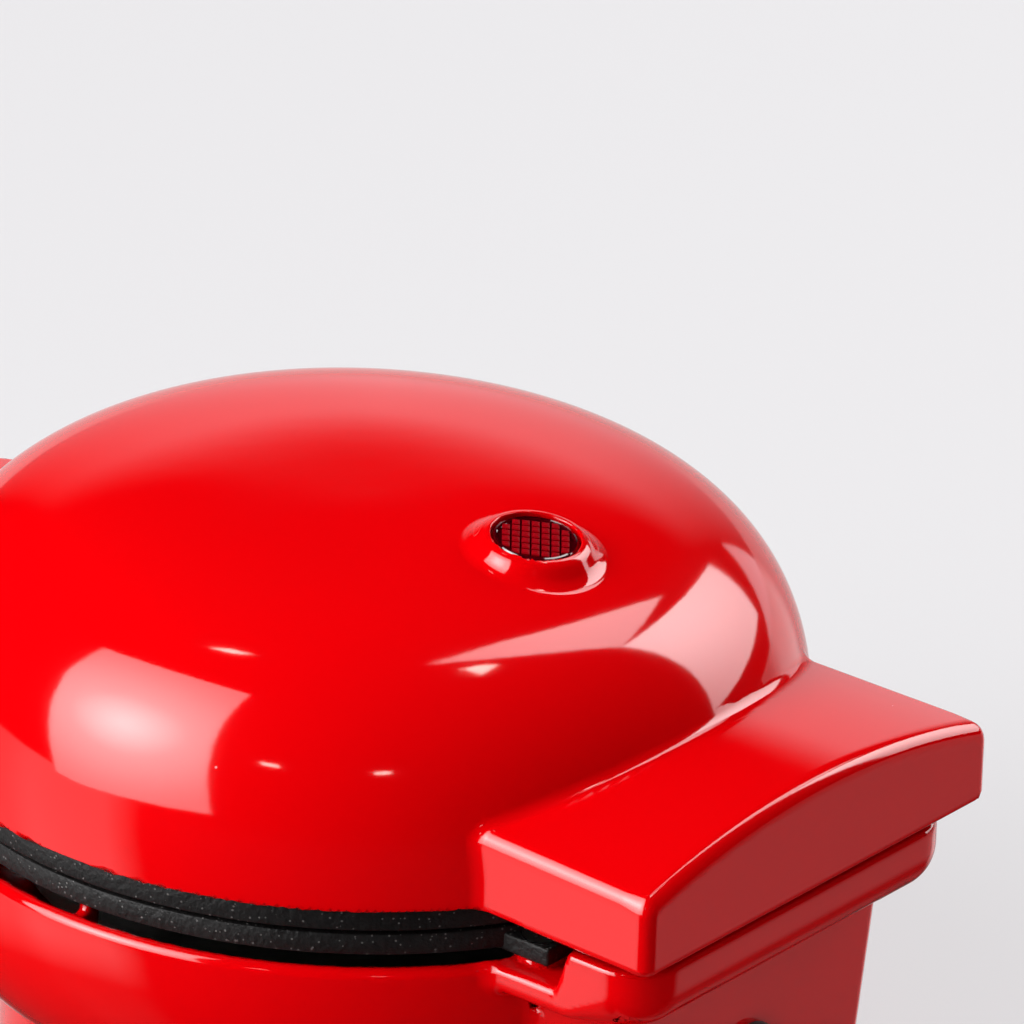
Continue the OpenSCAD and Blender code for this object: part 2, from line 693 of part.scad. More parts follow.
module base_shell() {
    shield_low = lower_face - shield_at - sheet;
    boss_top = lower_face - lug_step - lug_t;
    color("crimson") difference() {
        union() {
            difference() {
                base_outer();
                bowl_inner();
                rear_block(wall);
                pedestal(wall);
            }
            intersection() {
                union() {
                    base_outer();
                    translate([0, 0, base_top - 2])
                        cylinder(h = lower_face - base_top, r = bowl_r, $fn = 96);
                }
                union() {
                    for (s = [-1, 1]) {
                        translate([s * lug_x, lug_y, boss_top - 12]) cylinder(h = 12, r = boss_r, $fn = 32);
                        for (e = [-1, 1]) translate([s * arm_x + e * (rib_in + rib_t / 2) - rib_t / 2,
                            hinge_y - eye_r - 2, rear_bottom]) cube([rib_t, 20, ridge_z - rear_bottom]);
                    }
                    plate_ribs(land_r + 1, bowl_r - wall / 2, base_top - 14, base_top - 1);
                    plate_ribs(land_r + 1, lower_plate_r - wall, base_top - 2, lower_face - plate_t);
                    cover_post(cover_points[0], shield_low);
                    cover_post(cover_points[1], cover_top + 12);
                    cover_post(cover_points[2], cover_top + 12);
                    cover_post(cover_points[3], cover_top + 9);
                }
            }
            for (s = [-1, 1]) translate([s * lug_x, lug_y, boss_top - 4])
                cylinder(h = 4, r = boss_r, $fn = 32);
        }
        for (s = [-1, 1]) {
            translate([s * arm_x - rib_in, ridge_y - eps, notch_z - wall - eps])
                cube([2 * rib_in, rear_y - wall - ridge_y + eps, 20]);
            translate([s * arm_x - rib_in - rib_t - part_gap, hinge_y, hinge_z]) rotate([0, 90, 0])
                cylinder(h = 2 * (rib_in + rib_t + part_gap), r = pin_r + pin_seat, $fn = 48);
            translate([s * lug_x, lug_y, boss_top - 8])
                cylinder(h = 8 + eps, r = screw_r + thread_gap, $fn = 24);
        }
        translate([-lead_slot / 2, ridge_y - eps, notch_z - wall - eps])
            cube([lead_slot, hinge_y - ridge_y + eps, 20]);
        translate([0, -front_screw_y, shield_low - 8])
            cylinder(h = 8 + eps, r = screw_r + thread_gap, $fn = 24);
        for (p = cover_points) translate([p[0], p[1], cover_top - eps])
            cylinder(h = 8 + eps, r = screw_r + thread_gap, $fn = 24);
        translate([0, pedestal_rear - wall - eps, gland_z]) rotate([-90, 0, 0])
            cylinder(h = wall + 2 * eps, r = gland_r + 2, $fn = 48);
    }
}

// Round plate that closes the foot ring, with a tongue under the pedestal
module cover_outline() {
    half = pedestal_half_foot + (pedestal_half_top - pedestal_half_foot)
        * (cover_z - foot_lift) / (rear_bottom - foot_lift) - wall - cover_gap;
    cylinder(h = cover_t, r = foot_ring_r - wall - cover_gap, $fn = 120);
    translate([-half, 0, 0]) cube([2 * half, pedestal_rear - wall - cover_gap, cover_t]);
}

module bottom_cover() {
    color([0.12, 0.12, 0.12]) translate([0, 0, cover_z]) difference() {
        cover_outline();
        for (x = [-20 : 8 : 20]) translate([x - 1.5, -14, -eps]) cube([3, 28, cover_t + 2 * eps]);
        for (p = cover_points) translate([p[0], p[1], -eps])
            cylinder(h = cover_t + 2 * eps, r = screw_r + shank_gap, $fn = 32);
    }
}

module cover_screws() {
    color("gray") for (p = cover_points) translate([p[0], p[1], cover_z]) pan_screw(cover_t + 6);
}

module rubber_feet() {
    color("black") for (p = feet_points) translate([p[0], p[1], 0]) {
        cylinder(h = cover_z - 1, r1 = foot_r - 0.6, r2 = foot_r, $fn = 48);
        translate([0, 0, cover_z - 1 - eps]) cylinder(h = 1 + eps, r = foot_r, $fn = 48);
    }
}

// Three-pole ceramic block on the bottom cover, ahead of the gland
module terminal_block() {
    color("white") translate([0, block_y, cover_top]) difference() {
        translate([-15, -6, 0]) cube([30, 12, 11]);
        for (x = [-9, 0, 9]) {
            translate([x, -7, 4.5]) rotate([-90, 0, 0]) cylinder(h = 14, r = 2, $fn = 32);
            translate([x, 0, 4.5]) cylinder(h = 8, r = 1.8, $fn = 32);
        }
    }
}

// Rubber gland in the pedestal's rear wall, bored for the supply cord
module cord_gland() {
    color("black") translate([0, pedestal_rear - wall, gland_z]) rotate([-90, 0, 0]) difference() {
        union() {
            translate([0, 0, -2]) cylinder(h = 2, r = gland_r + 3.2, $fn = 48);
            translate([0, 0, -eps]) cylinder(h = wall + 2 * eps, r = gland_r + 1.98, $fn = 48);
            translate([0, 0, wall]) cylinder(h = 1.5, r = gland_r + 3.2, $fn = 48);
        }
        translate([0, 0, -3]) cylinder(h = wall + 6, r = gland_r, $fn = 48);
    }
}

// Tube along a list of points, one ring of eight at each smoothed step
function path_at(p, i, u) = let (n = len(p) - 1, a = p[max(i - 1, 0)], b = p[i], c = p[min(i + 1, n)],
    d = p[min(i + 2, n)]) 0.5 * (2 * b + (c - a) * u + (2 * a - 5 * b + 4 * c - d) * u * u
    + (3 * b - a - 3 * c + d) * u * u * u);
function smooth(p, k) = concat([for (i = [0 : len(p) - 2]) for (j = [0 : k - 1]) path_at(p, i, j / k)],
    [p[len(p) - 1]]);

module tube(points, r) {
    q = smooth(points, 4);
    n = len(q);
    side = [1, 0.3, 0.2];
    rings = [for (i = [0 : n - 1]) let (t = q[min(i + 1, n - 1)] - q[max(i - 1, 0)], w = t / norm(t),
        u0 = cross(w, side), u = u0 / norm(u0), v = cross(w, u))
        for (k = [0 : 7]) q[i] + r * (cos(45 * k) * u + sin(45 * k) * v)];
    polyhedron(rings, concat([[for (k = [0 : 7]) k]],
        [for (i = [0 : n - 2]) for (k = [0 : 7]) each [
            [i * 8 + k, (i + 1) * 8 + k, i * 8 + (k + 1) % 8],
            [i * 8 + (k + 1) % 8, (i + 1) * 8 + k, (i + 1) * 8 + (k + 1) % 8]]],
        [[for (k = [7 : -1 : 0]) (n - 1) * 8 + k]]));
}

// Leads from the upper element's ends to the thermostat and to the hinge
module lid_leads() {
    z = upper_face + element_seat + element_tube;
    back = upper_face + plate_t;
    color("white") {
        tube([[5, pin_end + part_gap, z], [5.4, pin_end + 4, z], [6.5, pin_end + 9, z - 0.5],
            [6, hinge_y - 19, z - 5], [5.5, hinge_y - 15.5, rim_z + 3.4],
            [5, hinge_y - 11, rim_z + 2.4], [4.6, hinge_y - 7, rim_z + 1]], lead_r);
        tube([[-5, pin_end + part_gap, z], [-5.4, pin_end + 5, z], [-9, pin_end + 10, z],
            [-20, pin_end + 9.5, z + 1], [-38, 38, z + 1], [-46, 24, z],
            [-thermostat_x - 0.8, 12, back + 9.2], [-thermostat_x - 0.4, 8, back + 9.6],
            [-thermostat_x - 0.4, blade_y + 1.2 + part_gap, back + 9.6]], lead_r);
    }
}

// Leads from the terminal block to the lower element's ends
module base_leads() {
    z = lower_face - element_seat - element_tube;
    color("white") for (s = [-1, 1])
        tube([[s * 5, pin_end + part_gap, z], [s * 5.4, pin_end + 5, z], [s * 7, pin_end + 10, z - 3],
            [s * 9, block_face + 5, z - 9], [s * 9, block_face + 5, cover_top + 8],
            [s * 9, block_face + 2.4, cover_top + 4.5], [s * 9, block_face - 1, cover_top + 4.5]], lead_r);
}

lid_shell();
indicator_lens();
indicator_lamp();
lamp_holder();
upper_plate();
upper_element();
upper_heat_shield();
upper_plate_screws();
thermostat();
hinge_bracket();
bracket_screws();
lid_leads();
base_shell();
hinge_pins();
lower_plate();
lower_element();
lower_heat_shield();
lower_plate_screws();
thermal_fuse();
fuse_clip();
bottom_cover();
cover_screws();
rubber_feet();
terminal_block();
cord_gland();
base_leads();
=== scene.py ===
import bmesh
import bpy
import numpy as np
from mathutils import Matrix, Vector


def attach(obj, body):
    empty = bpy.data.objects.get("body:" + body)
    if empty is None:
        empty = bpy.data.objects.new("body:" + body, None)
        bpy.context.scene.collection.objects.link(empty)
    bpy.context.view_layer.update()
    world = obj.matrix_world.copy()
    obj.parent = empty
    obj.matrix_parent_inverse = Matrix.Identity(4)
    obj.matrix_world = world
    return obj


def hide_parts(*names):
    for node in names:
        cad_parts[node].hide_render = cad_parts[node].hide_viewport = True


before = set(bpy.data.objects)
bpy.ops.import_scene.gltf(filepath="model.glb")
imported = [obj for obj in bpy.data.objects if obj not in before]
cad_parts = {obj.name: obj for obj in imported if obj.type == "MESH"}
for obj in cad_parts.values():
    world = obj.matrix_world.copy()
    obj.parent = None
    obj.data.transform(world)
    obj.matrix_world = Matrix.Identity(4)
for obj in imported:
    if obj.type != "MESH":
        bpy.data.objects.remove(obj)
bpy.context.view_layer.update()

# Camera
# A long lens behind the hinge, on the maker's right, turned a little so that the
# dome's far edge rises to the left. Its place was fitted to the outline of the object.
MM = 0.001
cam_place = Vector((2245.289, 1763.105, 1472.996)) * MM
cam_right = Vector((-0.62467, 0.78011, 0.03491))
cam_up = Vector((-0.32220, -0.29821, 0.89848))
cam_back = Vector((0.71132, 0.55000, 0.43763))
lens_px, frame_px, centre_drop_px = 22261.5, 1024, 2.86
sensor_mm = 36


def standing(right, up, back, place):
    m = Matrix((right, up, back)).transposed().to_4x4()
    m.translation = place
    return m


cam_data = bpy.data.cameras.new("product_camera")
cam_data.sensor_width = sensor_mm
cam_data.lens = lens_px / frame_px * sensor_mm
cam_data.shift_y = centre_drop_px / frame_px
cam_data.clip_start, cam_data.clip_end = 0.1, 40
camera = bpy.data.objects.new("product_camera", cam_data)
bpy.context.scene.collection.objects.link(camera)
camera.matrix_world = standing(cam_right, cam_up, cam_back, cam_place)
bpy.context.scene.camera = camera
# The plain transform keeps the enamel's full red, which a film curve would wash out.
bpy.context.scene.view_settings.view_transform = "Standard"

# Studio
# A pale table top between two large softboxes: one on the camera's left, one to the right
# and a little behind, with a strip over it and a few small lamps that show as glints.
# The paper's finish comes first. Every finish here and below varies a little in tone,
# gloss and level, each at its own scale, on Object coordinates.


def group(name, inputs, outputs):
    g = bpy.data.node_groups.new(name, "ShaderNodeTree")
    for label, kind, value in inputs:
        s = g.interface.new_socket(label, in_out="INPUT", socket_type=kind)
        if value is not None:
            s.default_value = value
    for label, kind in outputs:
        g.interface.new_socket(label, in_out="OUTPUT", socket_type=kind)
    return g, g.nodes.new("NodeGroupInput"), g.nodes.new("NodeGroupOutput")


def wire(tree, *pairs):
    for a, b in pairs:
        tree.links.new(a, b)


# Grain: two octaves of noise, as a height and as a tone between 0 and 1.
grain, g_in, g_out = group(
    "grain",
    [("Vector", "NodeSocketVector", None), ("Scale", "NodeSocketFloat", 400.0),
     ("Stretch", "NodeSocketVector", (1.0, 1.0, 1.0))],
    [("Height", "NodeSocketFloat"), ("Tone", "NodeSocketFloat")])
stretch = grain.nodes.new("ShaderNodeVectorMath")
stretch.operation = "MULTIPLY"
fine = grain.nodes.new("ShaderNodeTexNoise")
fine.inputs["Detail"].default_value = 2.0
broad = grain.nodes.new("ShaderNodeTexNoise")
broad.inputs["Detail"].default_value = 3.0
twelfth = grain.nodes.new("ShaderNodeMath")
twelfth.operation = "MULTIPLY"
twelfth.inputs[1].default_value = 1 / 12
wire(grain, (g_in.outputs["Vector"], stretch.inputs[0]), (g_in.outputs["Stretch"], stretch.inputs[1]),
     (stretch.outputs[0], fine.inputs["Vector"]), (stretch.outputs[0], broad.inputs["Vector"]),
     (g_in.outputs["Scale"], fine.inputs["Scale"]), (g_in.outputs["Scale"], twelfth.inputs[0]),
     (twelfth.outputs[0], broad.inputs["Scale"]), (fine.outputs["Fac"], g_out.inputs["Height"]),
     (broad.outputs["Fac"], g_out.inputs["Tone"]))

# Specks: sparse dots, for dust on paint and for the lighter grains of a coating, which also stand in for
# its sparkle as painted glints.
specks, s_in, s_out = group(
    "specks",
    [("Vector", "NodeSocketVector", None), ("Scale", "NodeSocketFloat", 500.0),
     ("Size", "NodeSocketFloat", 0.12), ("Share", "NodeSocketFloat", 0.1)],
    [("Mask", "NodeSocketFloat")])
cells = specks.nodes.new("ShaderNodeTexVoronoi")
near = specks.nodes.new("ShaderNodeMath")
near.operation = "LESS_THAN"
pick = specks.nodes.new("ShaderNodeSeparateColor")
few = specks.nodes.new("ShaderNodeMath")
few.operation = "LESS_THAN"
both = specks.nodes.new("ShaderNodeMath")
both.operation = "MULTIPLY"
wire(specks, (s_in.outputs["Vector"], cells.inputs["Vector"]),
     (s_in.outputs["Scale"], cells.inputs["Scale"]),
     (cells.outputs["Distance"], near.inputs[0]), (s_in.outputs["Size"], near.inputs[1]),
     (cells.outputs["Color"], pick.inputs[0]), (pick.outputs[0], few.inputs[0]),
     (s_in.outputs["Share"], few.inputs[1]), (near.outputs[0], both.inputs[0]),
     (few.outputs[0], both.inputs[1]), (both.outputs[0], s_out.inputs["Mask"]))


def finish(name, colour, second, rough, metal=0.0, coat=0.0, coat_rough=0.03, specular=0.5,
           scale=400.0, bump=0.1, depth=0.0001, stretch=(1, 1, 1), speck=None):
    """One surface finish. rough is its lowest and highest roughness; second is the tone it drifts to; speck
    is (scale, size, share, colour, roughness) of the dust or grains on it; on the coating the grains also
    paint its sparkle."""
    mat = bpy.data.materials.new(name)
    mat.use_nodes = True
    tree = mat.node_tree
    new = tree.nodes.new
    shader = tree.nodes["Principled BSDF"]
    shader.inputs["Metallic"].default_value = metal
    shader.inputs["Coat Weight"].default_value = coat
    shader.inputs["Coat Roughness"].default_value = coat_rough
    shader.inputs["Specular IOR Level"].default_value = specular
    place = new("ShaderNodeTexCoord")
    noise = new("ShaderNodeGroup")
    noise.node_tree = grain
    noise.inputs["Scale"].default_value = scale
    noise.inputs["Stretch"].default_value = stretch
    tone = new("ShaderNodeMix")
    tone.data_type = "RGBA"
    tone.inputs[6].default_value = (*colour, 1)
    tone.inputs[7].default_value = (*second, 1)
    gloss = new("ShaderNodeMapRange")
    gloss.inputs["From Min"].default_value, gloss.inputs["From Max"].default_value = 0.3, 0.7
    gloss.inputs["To Min"].default_value, gloss.inputs["To Max"].default_value = rough
    relief = new("ShaderNodeBump")
    relief.inputs["Strength"].default_value = bump
    relief.inputs["Distance"].default_value = depth
    wire(tree, (place.outputs["Object"], noise.inputs["Vector"]), (noise.outputs["Tone"], tone.inputs[0]),
         (noise.outputs["Tone"], gloss.inputs["Value"]), (noise.outputs["Height"], relief.inputs["Height"]),
         (relief.outputs["Normal"], shader.inputs["Normal"]))
    base, rough_out = tone.outputs[2], gloss.outputs["Result"]
    if speck:
        dots = new("ShaderNodeGroup")
        dots.node_tree = specks
        for label, value in zip(("Scale", "Size", "Share"), speck):
            dots.inputs[label].default_value = value
        spotted = new("ShaderNodeMix")
        spotted.data_type = "RGBA"
        spotted.inputs[7].default_value = (*speck[3], 1)
        dulled = new("ShaderNodeMix")
        dulled.inputs[3].default_value = speck[4]
        wire(tree, (place.outputs["Object"], dots.inputs["Vector"]),
             (dots.outputs["Mask"], spotted.inputs[0]),
             (dots.outputs["Mask"], dulled.inputs[0]), (base, spotted.inputs[6]),
             (rough_out, dulled.inputs[2]))
        base, rough_out = spotted.outputs[2], dulled.outputs[0]
    wire(tree, (base, shader.inputs["Base Color"]), (rough_out, shader.inputs["Roughness"]))
    return mat


def wear(node, material):
    """Gives a CAD node that keeps its shape its real finish."""
    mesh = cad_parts[node].data
    mesh.materials.clear()
    mesh.materials.append(material)


bpy.ops.object.select_all(action="DESELECT")
bpy.ops.mesh.primitive_plane_add(size=30)
floor = bpy.context.object
floor.name = "table_top"
paper = finish("table_paper", (0.50, 0.495, 0.51), (0.48, 0.475, 0.49), (0.75, 0.9),
               scale=60, bump=0.02, specular=0.1)
floor.data.materials.append(paper)
# What a glossy surface sees of the room changes with the direction. Each ramp below gives
# that brightness against the compass angle, from 0 behind the object, by way of the
# camera's left, to 1 behind it again; the camera itself stands at 0.5.
cam_flat = Vector((cam_back.x, cam_back.y, 0)).normalized()
right_flat = Vector((-cam_flat.y, cam_flat.x, 0))
# The first ramp is painted reflection: how bright the table glows to glossy rays, whatever light falls on
# it.
painted_table_gloss = [(0.0, 0.6), (0.047, 0.5), (0.167, 0.45), (0.236, 0.6), (0.264, 1.0), (0.328, 0.95),
              (0.356, 0.0), (0.744, 0.0), (0.789, 0.28), (0.865, 0.35), (0.885, 0.95), (0.922, 0.95),
              (0.935, 0.45), (1.0, 0.6)]
wall_seen = [(0.0, 0.92), (0.025, 0.46), (0.039, 0.26), (0.061, 0.0), (0.929, 0.0), (0.939, 0.12),
             (0.956, 0.35), (0.981, 0.74), (1.0, 0.92)]


def compass(tree, direction, stops):
    """Brightness of the room at a direction's compass angle, and the angle itself."""
    parts = []
    for axis in (right_flat, cam_flat):
        dot = tree.nodes.new("ShaderNodeVectorMath")
        dot.operation = "DOT_PRODUCT"
        dot.inputs[1].default_value = axis
        wire(tree, (direction, dot.inputs[0]))
        parts.append(dot.outputs["Value"])
    angle = tree.nodes.new("ShaderNodeMath")
    angle.operation = "ARCTAN2"
    turn = tree.nodes.new("ShaderNodeMapRange")
    turn.inputs["From Min"].default_value, turn.inputs["From Max"].default_value = -np.pi, np.pi
    ramp = tree.nodes.new("ShaderNodeValToRGB")
    wire(tree, (parts[0], angle.inputs[0]), (parts[1], angle.inputs[1]),
         (angle.outputs[0], turn.inputs["Value"]),
         (turn.outputs["Result"], ramp.inputs[0]))
    marks = ramp.color_ramp.elements
    marks.remove(marks[1])
    marks[0].color = (*[stops[0][1]] * 3, 1)
    for t, level in stops[1:]:
        marks.new(t).color = (level, level, level, 1)
    return ramp.outputs["Color"], turn.outputs["Result"]


tree = paper.node_tree
spot = tree.nodes.new("ShaderNodeTexCoord")
ground = tree.nodes.new("ShaderNodeNewGeometry")
outward = tree.nodes.new("ShaderNodeVectorMath")
outward.operation = "SCALE"
outward.inputs["Scale"].default_value = -1
wire(tree, (ground.outputs["Incoming"], outward.inputs[0]))
seen, _ = compass(tree, outward.outputs[0], painted_table_gloss)
# Glossy rays see the table as this glow of painted reflection, not as its lit paper.
painted_gloss_glow = tree.nodes.new("ShaderNodeEmission")
# Where a reflection dips down sharply and meets the table close by, the glow is darker: a painted shadow of
# the object.
height = tree.nodes.new("ShaderNodeSeparateXYZ")
painted_near_shadow = tree.nodes.new("ShaderNodeMapRange")
painted_near_shadow.inputs["From Min"].default_value, painted_near_shadow.inputs["From Max"].default_value = -0.62, -0.48
painted_near_shadow.inputs["To Min"].default_value, painted_near_shadow.inputs["To Max"].default_value = 0.1, 1.15
wire(tree, (outward.outputs[0], height.inputs[0]), (height.outputs["Z"], painted_near_shadow.inputs["Value"]),
     (painted_near_shadow.outputs["Result"], painted_gloss_glow.inputs["Strength"]))
# To the eye the paper is 65 parts in 100 a painted glow, a little brighter towards the camera's right,
# which lightens the shadows on it.
lit = tree.nodes.new("ShaderNodeEmission")
lit.inputs["Color"].default_value = (1.0, 0.985, 1.0, 1)
drift = tree.nodes.new("ShaderNodeVectorMath")
drift.operation = "DOT_PRODUCT"
drift.inputs[1].default_value = right_flat
level = tree.nodes.new("ShaderNodeMapRange")
level.inputs["From Min"].default_value, level.inputs["From Max"].default_value = -0.3, 0.3
level.inputs["To Min"].default_value, level.inputs["To Max"].default_value = 0.84, 0.93
ray = tree.nodes.new("ShaderNodeLightPath")
share = tree.nodes.new("ShaderNodeMath")
share.operation = "MULTIPLY"
share.inputs[1].default_value = 0.65
to_eye = tree.nodes.new("ShaderNodeMixShader")
to_gloss = tree.nodes.new("ShaderNodeMixShader")
wire(tree, (seen, painted_gloss_glow.inputs["Color"]), (spot.outputs["Object"], drift.inputs[0]),
     (drift.outputs["Value"], level.inputs["Value"]), (level.outputs["Result"], lit.inputs["Strength"]),
     (ray.outputs["Is Camera Ray"], share.inputs[0]), (share.outputs[0], to_eye.inputs[0]),
     (tree.nodes["Principled BSDF"].outputs[0], to_eye.inputs[1]), (lit.outputs[0], to_eye.inputs[2]),
     (ray.outputs["Is Glossy Ray"], to_gloss.inputs[0]), (to_eye.outputs[0], to_gloss.inputs[1]),
     (painted_gloss_glow.outputs[0], to_gloss.inputs[2]),
     (to_gloss.outputs[0], tree.nodes["Material Output"].inputs["Surface"]))


def from_camera(x, y, back):
    return x * cam_right + y * cam_up + back * cam_back


def softbox(name, corners, reach, edge, heart, heart_size, focus=None, star=0, tint=(1, 1, 1)):
    """A lit card whose corners lie in the given directions, in the camera's own axes. It is
    brightest at its focus, as cloth is before a lamp, and the lamp may show as a star."""
    bpy.ops.object.select_all(action="DESELECT")
    bpy.ops.mesh.primitive_plane_add(size=1)
    card = bpy.context.object
    card.name = name
    middle = Vector((0, 0, 0.06))
    places = [middle + from_camera(*c) * reach for c in corners]
    heart_place = middle + from_camera(*focus) * reach if focus else sum(places, Vector()) / 4
    star_size = 0.34
    order = [card.data.vertices[i] for i in card.data.polygons[0].vertices]
    for vertex, place in zip(order, places):
        vertex.co = place
    glow = bpy.data.materials.new(name)
    glow.use_nodes = True
    tree = glow.node_tree
    tree.nodes.remove(tree.nodes["Principled BSDF"])
    light = tree.nodes.new("ShaderNodeEmission")
    light.inputs["Color"].default_value = (*tint, 1)
    where = tree.nodes.new("ShaderNodeTexCoord")
    far = tree.nodes.new("ShaderNodeVectorMath")
    far.operation = "DISTANCE"
    far.inputs[1].default_value = heart_place
    fall = tree.nodes.new("ShaderNodeMapRange")
    fall.interpolation_type = "SMOOTHSTEP"
    fall.inputs["From Max"].default_value = heart_size
    fall.inputs["To Min"].default_value, fall.inputs["To Max"].default_value = heart, edge
    bulb = tree.nodes.new("ShaderNodeMapRange")
    bulb.inputs["From Max"].default_value = star_size
    bulb.inputs["To Min"].default_value, bulb.inputs["To Max"].default_value = star, 0
    both = tree.nodes.new("ShaderNodeMath")
    both.operation = "ADD"
    wire(tree, (where.outputs["Object"], far.inputs[0]), (far.outputs["Value"], fall.inputs["Value"]),
         (far.outputs["Value"], bulb.inputs["Value"]), (fall.outputs["Result"], both.inputs[0]),
         (bulb.outputs["Result"], both.inputs[1]), (both.outputs[0], light.inputs["Strength"]),
         (light.outputs[0], tree.nodes["Material Output"].inputs["Surface"]))
    card.data.materials.append(glow)
    card.visible_camera = False


softbox("softbox_left", [(-0.58, 0.80, 0.15), (-0.27, 0.78, 0.56), (-0.56, -0.28, 0.78),
                         (-0.97, -0.13, 0.21)], 1.6, 3.6, 9.4, 1.0, star=6)
softbox("softbox_right", [(0.51, 0.66, -0.55), (0.68, 0.41, -0.61), (0.97, 0.22, -0.13),
                          (0.60, 0.80, 0.01)], 1.6, 3.4, 8.8, 1.15, focus=(0.60, 0.78, -0.05))
softbox("softbox_strip", [(0.19, 0.95, 0.25), (0.60, 0.80, 0.01), (0.51, 0.80, -0.31),
                          (0.28, 0.95, 0.06)], 1.6, 4.6, 5.4, 0.6)
warm = (1.0, 0.93, 0.84)
for i, corners in enumerate([
        [(-0.34, 0.235, 0.912), (-0.275, 0.215, 0.937), (-0.27, 0.185, 0.945), (-0.335, 0.20, 0.921)],
        [(0.10, 0.185, 0.978), (0.16, 0.195, 0.968), (0.16, 0.165, 0.973), (0.10, 0.155, 0.983)],
        [(-0.275, 0.945, 0.18), (-0.225, 0.957, 0.185), (-0.185, 0.955, 0.225), (-0.225, 0.95, 0.225)],
        [(0.27, 0.92, 0.28), (0.30, 0.92, 0.24), (0.345, 0.91, 0.235), (0.33, 0.885, 0.33)]]):
    softbox(f"lamp_{i}", corners, 1.6, 15, 15, 0.1, tint=warm)
# One more softbox stands low behind, where no gloss in this view can catch it.
rear = bpy.data.lights.new("bounce_rear", "AREA")
rear.size, rear.energy = 1.2, 17
lamp = bpy.data.objects.new("bounce_rear", rear)
lamp.visible_glossy = False
bpy.context.scene.collection.objects.link(lamp)
z = from_camera(0.75, 0.45, -0.45).normalized()
x = z.cross(Vector((0, 0, 1))).normalized()
lamp.matrix_world = standing(x, z.cross(x), z, Vector((0, 0, 0.06)) + z * 1.6)

world = bpy.data.worlds.new("studio")
bpy.context.scene.world = world
world.use_nodes = True
sky = world.node_tree
# The room: a fill for the matt light that is weaker from the camera's side, and for the
# gloss a pale wall behind and, on its right, a white panel with a slanting edge.
look = sky.nodes.new("ShaderNodeTexCoord")
look_out = look.outputs["Generated"]
split = sky.nodes.new("ShaderNodeSeparateXYZ")
height = sky.nodes.new("ShaderNodeMapRange")
height.interpolation_type = "SMOOTHSTEP"
height.inputs["From Min"].default_value, height.inputs["From Max"].default_value = 0.32, 0.45
height.inputs["To Min"].default_value, height.inputs["To Max"].default_value = 1.0, 0.0
wall, angle = compass(sky, look_out, wall_seen)
gleam = sky.nodes.new("ShaderNodeMath")
gleam.operation = "MULTIPLY"
rise = sky.nodes.new("ShaderNodeMath")
rise.operation = "MULTIPLY_ADD"
panel_slope, panel_shift, panel_end = 4.14, -3.64, 0.931
rise.inputs[1].default_value, rise.inputs[2].default_value = panel_slope, panel_shift
under = sky.nodes.new("ShaderNodeMath")
under.operation = "GREATER_THAN"
before = sky.nodes.new("ShaderNodeMath")
before.operation = "LESS_THAN"
before.inputs[1].default_value = panel_end
panel = sky.nodes.new("ShaderNodeMath")
panel.operation = "MULTIPLY"
panel_level = sky.nodes.new("ShaderNodeMath")
panel_level.operation = "MULTIPLY_ADD"
panel_level.inputs[1].default_value = 1.35
toward = sky.nodes.new("ShaderNodeVectorMath")
toward.operation = "DOT_PRODUCT"
toward.inputs[1].default_value = cam_flat
fill = sky.nodes.new("ShaderNodeMapRange")
fill.inputs["From Min"].default_value, fill.inputs["From Max"].default_value = -1.0, 1.0
fill.inputs["To Min"].default_value, fill.inputs["To Max"].default_value = 0.66, 0.03
ray = sky.nodes.new("ShaderNodeLightPath")
by_gloss = sky.nodes.new("ShaderNodeMix")
by_eye = sky.nodes.new("ShaderNodeMix")
by_eye.inputs[3].default_value = 0.85
wire(sky, (look_out, split.inputs[0]), (split.outputs["Z"], height.inputs["Value"]),
     (wall, gleam.inputs[0]), (height.outputs["Result"], gleam.inputs[1]),
     (angle, rise.inputs[0]), (rise.outputs[0], under.inputs[0]), (split.outputs["Z"], under.inputs[1]),
     (angle, before.inputs[0]), (under.outputs[0], panel.inputs[0]), (before.outputs[0], panel.inputs[1]),
     (panel.outputs[0], panel_level.inputs[0]), (gleam.outputs[0], panel_level.inputs[2]),
     (look_out, toward.inputs[0]), (toward.outputs["Value"], fill.inputs["Value"]),
     (fill.outputs["Result"], by_gloss.inputs[2]), (panel_level.outputs[0], by_gloss.inputs[3]),
     (ray.outputs["Is Glossy Ray"], by_gloss.inputs[0]), (by_gloss.outputs[0], by_eye.inputs[2]),
     (ray.outputs["Is Camera Ray"], by_eye.inputs[0]),
     (by_eye.outputs[0], sky.nodes["Background"].inputs["Strength"]))
sky.nodes["Background"].inputs["Color"].default_value = (0.97, 0.965, 1.0, 1)

# Lid
# One injection moulding in red enamelled plastic: a squared dome with the hinge block
# behind and a short handle in front, all corners rounded, and a raised collar that
# holds the pilot light's lens. It is screwed to the hinge bracket from inside.
rim_z = 52.0
dome_r, dome_rise, dome_n, dome_m = 65.4, 36.5, 3.6, 2.4


def cut_round(a, b, r):
    """What lies inside both fields, its edge rounded by r."""
    u, v = np.maximum(a + r, 0), np.maximum(b + r, 0)
    return np.minimum(np.maximum(a, b), -r) + np.hypot(u, v)


def join_round(a, b, r):
    """Both fields together, their inner corner filled by r."""
    return -cut_round(-a, -b, r)


def squared(r, h, width, height):
    """Distance, near the surface, to a dome that is squared at its shoulder."""
    h = np.maximum(h, 0)
    value = (r / width) ** dome_n + (h / height) ** dome_m - 1
    slope = np.hypot(dome_n * r ** (dome_n - 1) / width ** dome_n,
                     dome_m * h ** (dome_m - 1) / height ** dome_m)
    return value / np.maximum(slope, 1e-3)


def crown_top(x, h, half, side, crown):
    radius = (half ** 2 + crown ** 2) / (2 * crown)
    return np.hypot(x, h - side - crown + radius) - radius


